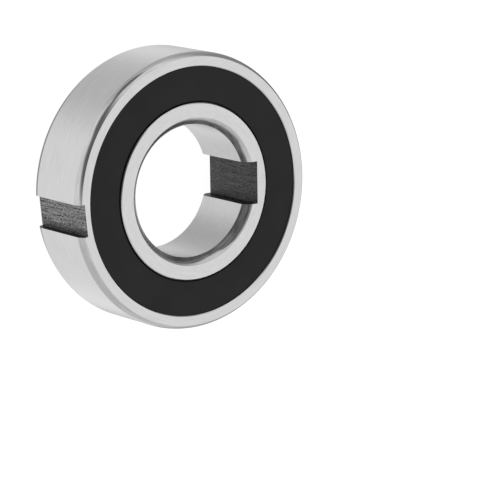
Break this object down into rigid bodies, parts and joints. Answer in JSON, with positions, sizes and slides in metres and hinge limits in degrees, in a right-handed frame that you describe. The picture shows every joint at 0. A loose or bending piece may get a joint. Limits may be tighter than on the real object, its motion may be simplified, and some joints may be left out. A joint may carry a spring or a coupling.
{
  "type": "sprag clutch",
  "caption": "Sealed one-way clutch bearing: a ball row beside a sprag row between two rings, with a keyway in the bore and another in the rim.",
  "frame": {"origin": "on the bearing's axis, at the middle of its width", "axes": "+Z along the axis towards the front face, which the picture shows; -X through the keyway in the rim; +Y completes the frame"},
  "size_m": [0.0518, 0.052, 0.015],
  "materials": {
    "ring_steel": "fine ground, satin",
    "ball_steel": "polished",
    "sprag_steel": "hardened and tumbled",
    "cage_nylon": "moulded, glass filled",
    "cage_steel": "pressed strip",
    "spring_steel": "drawn wire",
    "seal_rubber": "moulded, matt black",
    "insert_steel": "cold rolled strip"
  },
  "bodies": {
    "outer_ring": {"outer_ring": "ring_steel", "front_seal": "seal_rubber", "front_seal_insert": "insert_steel", "rear_seal": "seal_rubber", "rear_seal_insert": "insert_steel", "sprag_cage": "cage_steel", "garter_spring": "spring_steel"},
    "inner_ring": {"inner_ring": "ring_steel"},
    "ball_cage": {"ball_cage": "cage_nylon"},
    "ball_01": {"ball_01": "ball_steel"},
    "ball_02": {"ball_02": "ball_steel"},
    "ball_03": {"ball_03": "ball_steel"},
    "ball_04": {"ball_04": "ball_steel"},
    "ball_05": {"ball_05": "ball_steel"},
    "ball_06": {"ball_06": "ball_steel"},
    "ball_07": {"ball_07": "ball_steel"},
    "ball_08": {"ball_08": "ball_steel"},
    "ball_09": {"ball_09": "ball_steel"},
    "ball_10": {"ball_10": "ball_steel"},
    "ball_11": {"ball_11": "ball_steel"},
    "sprag_01": {"sprag_01": "sprag_steel"},
    "sprag_02": {"sprag_02": "sprag_steel"},
    "sprag_03": {"sprag_03": "sprag_steel"},
    "sprag_04": {"sprag_04": "sprag_steel"},
    "sprag_05": {"sprag_05": "sprag_steel"},
    "sprag_06": {"sprag_06": "sprag_steel"},
    "sprag_07": {"sprag_07": "sprag_steel"},
    "sprag_08": {"sprag_08": "sprag_steel"},
    "sprag_09": {"sprag_09": "sprag_steel"},
    "sprag_10": {"sprag_10": "sprag_steel"},
    "sprag_11": {"sprag_11": "sprag_steel"},
    "sprag_12": {"sprag_12": "sprag_steel"},
    "sprag_13": {"sprag_13": "sprag_steel"},
    "sprag_14": {"sprag_14": "sprag_steel"},
    "sprag_15": {"sprag_15": "sprag_steel"},
    "sprag_16": {"sprag_16": "sprag_steel"},
    "sprag_17": {"sprag_17": "sprag_steel"},
    "sprag_18": {"sprag_18": "sprag_steel"},
    "sprag_19": {"sprag_19": "sprag_steel"},
    "sprag_20": {"sprag_20": "sprag_steel"}
  },
  "joints": [
    {"name": "inner_ring_turn", "type": "hinge", "parent": "outer_ring", "child": "inner_ring", "pos_m": [0, 0, 0], "axis": [0, 0, 1], "range_deg": [0, 3690]},
    {"name": "ball_cage_turn", "type": "hinge", "parent": "outer_ring", "child": "ball_cage", "pos_m": [0, 0, 0], "axis": [0, 0, 1], "range_deg": [0, 1541.7]},
    {"name": "ball_01_spin", "type": "hinge", "parent": "ball_cage", "child": "ball_01", "pos_m": [0.01925, 0, -0.0022], "axis": [0, 0, 1], "range_deg": [-10882.9, 0]},
    {"name": "ball_02_spin", "type": "hinge", "parent": "ball_cage", "child": "ball_02", "pos_m": [0.01619, 0.01041, -0.0022], "axis": [0, 0, 1], "range_deg": [-10882.9, 0]},
    {"name": "ball_03_spin", "type": "hinge", "parent": "ball_cage", "child": "ball_03", "pos_m": [0.008, 0.01751, -0.0022], "axis": [0, 0, 1], "range_deg": [-10882.9, 0]},
    {"name": "ball_04_spin", "type": "hinge", "parent": "ball_cage", "child": "ball_04", "pos_m": [-0.00274, 0.01905, -0.0022], "axis": [0, 0, 1], "range_deg": [-10882.9, 0]},
    {"name": "ball_05_spin", "type": "hinge", "parent": "ball_cage", "child": "ball_05", "pos_m": [-0.01261, 0.01455, -0.0022], "axis": [0, 0, 1], "range_deg": [-10882.9, 0]},
    {"name": "ball_06_spin", "type": "hinge", "parent": "ball_cage", "child": "ball_06", "pos_m": [-0.01847, 0.00542, -0.0022], "axis": [0, 0, 1], "range_deg": [-10882.9, 0]},
    {"name": "ball_07_spin", "type": "hinge", "parent": "ball_cage", "child": "ball_07", "pos_m": [-0.01847, -0.00542, -0.0022], "axis": [0, 0, 1], "range_deg": [-10882.9, 0]},
    {"name": "ball_08_spin", "type": "hinge", "parent": "ball_cage", "child": "ball_08", "pos_m": [-0.01261, -0.01455, -0.0022], "axis": [0, 0, 1], "range_deg": [-10882.9, 0]},
    {"name": "ball_09_spin", "type": "hinge", "parent": "ball_cage", "child": "ball_09", "pos_m": [-0.00274, -0.01905, -0.0022], "axis": [0, 0, 1], "range_deg": [-10882.9, 0]},
    {"name": "ball_10_spin", "type": "hinge", "parent": "ball_cage", "child": "ball_10", "pos_m": [0.008, -0.01751, -0.0022], "axis": [0, 0, 1], "range_deg": [-10882.9, 0]},
    {"name": "ball_11_spin", "type": "hinge", "parent": "ball_cage", "child": "ball_11", "pos_m": [0.01619, -0.01041, -0.0022], "axis": [0, 0, 1], "range_deg": [-10882.9, 0]},
    {"name": "sprag_01_tilt", "type": "hinge", "parent": "outer_ring", "child": "sprag_01", "pos_m": [0.01925, 0, 0.0036], "axis": [0, 0, 1], "range_deg": [-6, 0], "stiffness_Nm_per_rad": 0.001, "springref_deg": 17.19},
    {"name": "sprag_02_tilt", "type": "hinge", "parent": "outer_ring", "child": "sprag_02", "pos_m": [0.01831, 0.00595, 0.0036], "axis": [0, 0, 1], "range_deg": [-6, 0], "stiffness_Nm_per_rad": 0.001, "springref_deg": 17.19},
    {"name": "sprag_03_tilt", "type": "hinge", "parent": "outer_ring", "child": "sprag_03", "pos_m": [0.01557, 0.01132, 0.0036], "axis": [0, 0, 1], "range_deg": [-6, 0], "stiffness_Nm_per_rad": 0.001, "springref_deg": 17.19},
    {"name": "sprag_04_tilt", "type": "hinge", "parent": "outer_ring", "child": "sprag_04", "pos_m": [0.01132, 0.01557, 0.0036], "axis": [0, 0, 1], "range_deg": [-6, 0], "stiffness_Nm_per_rad": 0.001, "springref_deg": 17.19},
    {"name": "sprag_05_tilt", "type": "hinge", "parent": "outer_ring", "child": "sprag_05", "pos_m": [0.00595, 0.01831, 0.0036], "axis": [0, 0, 1], "range_deg": [-6, 0], "stiffness_Nm_per_rad": 0.001, "springref_deg": 17.19},
    {"name": "sprag_06_tilt", "type": "hinge", "parent": "outer_ring", "child": "sprag_06", "pos_m": [0, 0.01925, 0.0036], "axis": [0, 0, 1], "range_deg": [-6, 0], "stiffness_Nm_per_rad": 0.001, "springref_deg": 17.19},
    {"name": "sprag_07_tilt", "type": "hinge", "parent": "outer_ring", "child": "sprag_07", "pos_m": [-0.00595, 0.01831, 0.0036], "axis": [0, 0, 1], "range_deg": [-6, 0], "stiffness_Nm_per_rad": 0.001, "springref_deg": 17.19},
    {"name": "sprag_08_tilt", "type": "hinge", "parent": "outer_ring", "child": "sprag_08", "pos_m": [-0.01132, 0.01557, 0.0036], "axis": [0, 0, 1], "range_deg": [-6, 0], "stiffness_Nm_per_rad": 0.001, "springref_deg": 17.19},
    {"name": "sprag_09_tilt", "type": "hinge", "parent": "outer_ring", "child": "sprag_09", "pos_m": [-0.01557, 0.01132, 0.0036], "axis": [0, 0, 1], "range_deg": [-6, 0], "stiffness_Nm_per_rad": 0.001, "springref_deg": 17.19},
    {"name": "sprag_10_tilt", "type": "hinge", "parent": "outer_ring", "child": "sprag_10", "pos_m": [-0.01831, 0.00595, 0.0036], "axis": [0, 0, 1], "range_deg": [-6, 0], "stiffness_Nm_per_rad": 0.001, "springref_deg": 17.19},
    {"name": "sprag_11_tilt", "type": "hinge", "parent": "outer_ring", "child": "sprag_11", "pos_m": [-0.01925, 0, 0.0036], "axis": [0, 0, 1], "range_deg": [-6, 0], "stiffness_Nm_per_rad": 0.001, "springref_deg": 17.19},
    {"name": "sprag_12_tilt", "type": "hinge", "parent": "outer_ring", "child": "sprag_12", "pos_m": [-0.01831, -0.00595, 0.0036], "axis": [0, 0, 1], "range_deg": [-6, 0], "stiffness_Nm_per_rad": 0.001, "springref_deg": 17.19},
    {"name": "sprag_13_tilt", "type": "hinge", "parent": "outer_ring", "child": "sprag_13", "pos_m": [-0.01557, -0.01132, 0.0036], "axis": [0, 0, 1], "range_deg": [-6, 0], "stiffness_Nm_per_rad": 0.001, "springref_deg": 17.19},
    {"name": "sprag_14_tilt", "type": "hinge", "parent": "outer_ring", "child": "sprag_14", "pos_m": [-0.01132, -0.01557, 0.0036], "axis": [0, 0, 1], "range_deg": [-6, 0], "stiffness_Nm_per_rad": 0.001, "springref_deg": 17.19},
    {"name": "sprag_15_tilt", "type": "hinge", "parent": "outer_ring", "child": "sprag_15", "pos_m": [-0.00595, -0.01831, 0.0036], "axis": [0, 0, 1], "range_deg": [-6, 0], "stiffness_Nm_per_rad": 0.001, "springref_deg": 17.19},
    {"name": "sprag_16_tilt", "type": "hinge", "parent": "outer_ring", "child": "sprag_16", "pos_m": [0, -0.01925, 0.0036], "axis": [0, 0, 1], "range_deg": [-6, 0], "stiffness_Nm_per_rad": 0.001, "springref_deg": 17.19},
    {"name": "sprag_17_tilt", "type": "hinge", "parent": "outer_ring", "child": "sprag_17", "pos_m": [0.00595, -0.01831, 0.0036], "axis": [0, 0, 1], "range_deg": [-6, 0], "stiffness_Nm_per_rad": 0.001, "springref_deg": 17.19},
    {"name": "sprag_18_tilt", "type": "hinge", "parent": "outer_ring", "child": "sprag_18", "pos_m": [0.01132, -0.01557, 0.0036], "axis": [0, 0, 1], "range_deg": [-6, 0], "stiffness_Nm_per_rad": 0.001, "springref_deg": 17.19},
    {"name": "sprag_19_tilt", "type": "hinge", "parent": "outer_ring", "child": "sprag_19", "pos_m": [0.01557, -0.01132, 0.0036], "axis": [0, 0, 1], "range_deg": [-6, 0], "stiffness_Nm_per_rad": 0.001, "springref_deg": 17.19},
    {"name": "sprag_20_tilt", "type": "hinge", "parent": "outer_ring", "child": "sprag_20", "pos_m": [0.01831, -0.00595, 0.0036], "axis": [0, 0, 1], "range_deg": [-6, 0], "stiffness_Nm_per_rad": 0.001, "springref_deg": 17.19}
  ],
  "couplings": [
    {"joint": "ball_cage_turn", "follows": "inner_ring_turn", "ratio": 0.41753},
    {"joint": "ball_01_spin", "follows": "inner_ring_turn", "ratio": -2.949},
    {"joint": "ball_02_spin", "follows": "inner_ring_turn", "ratio": -2.949},
    {"joint": "ball_03_spin", "follows": "inner_ring_turn", "ratio": -2.949},
    {"joint": "ball_04_spin", "follows": "inner_ring_turn", "ratio": -2.949},
    {"joint": "ball_05_spin", "follows": "inner_ring_turn", "ratio": -2.949},
    {"joint": "ball_06_spin", "follows": "inner_ring_turn", "ratio": -2.949},
    {"joint": "ball_07_spin", "follows": "inner_ring_turn", "ratio": -2.949},
    {"joint": "ball_08_spin", "follows": "inner_ring_turn", "ratio": -2.949},
    {"joint": "ball_09_spin", "follows": "inner_ring_turn", "ratio": -2.949},
    {"joint": "ball_10_spin", "follows": "inner_ring_turn", "ratio": -2.949},
    {"joint": "ball_11_spin", "follows": "inner_ring_turn", "ratio": -2.949},
    {"joint": "sprag_02_tilt", "follows": "sprag_01_tilt", "ratio": 1},
    {"joint": "sprag_03_tilt", "follows": "sprag_01_tilt", "ratio": 1},
    {"joint": "sprag_04_tilt", "follows": "sprag_01_tilt", "ratio": 1},
    {"joint": "sprag_05_tilt", "follows": "sprag_01_tilt", "ratio": 1},
    {"joint": "sprag_06_tilt", "follows": "sprag_01_tilt", "ratio": 1},
    {"joint": "sprag_07_tilt", "follows": "sprag_01_tilt", "ratio": 1},
    {"joint": "sprag_08_tilt", "follows": "sprag_01_tilt", "ratio": 1},
    {"joint": "sprag_09_tilt", "follows": "sprag_01_tilt", "ratio": 1},
    {"joint": "sprag_10_tilt", "follows": "sprag_01_tilt", "ratio": 1},
    {"joint": "sprag_11_tilt", "follows": "sprag_01_tilt", "ratio": 1},
    {"joint": "sprag_12_tilt", "follows": "sprag_01_tilt", "ratio": 1},
    {"joint": "sprag_13_tilt", "follows": "sprag_01_tilt", "ratio": 1},
    {"joint": "sprag_14_tilt", "follows": "sprag_01_tilt", "ratio": 1},
    {"joint": "sprag_15_tilt", "follows": "sprag_01_tilt", "ratio": 1},
    {"joint": "sprag_16_tilt", "follows": "sprag_01_tilt", "ratio": 1},
    {"joint": "sprag_17_tilt", "follows": "sprag_01_tilt", "ratio": 1},
    {"joint": "sprag_18_tilt", "follows": "sprag_01_tilt", "ratio": 1},
    {"joint": "sprag_19_tilt", "follows": "sprag_01_tilt", "ratio": 1},
    {"joint": "sprag_20_tilt", "follows": "sprag_01_tilt", "ratio": 1}
  ]
}
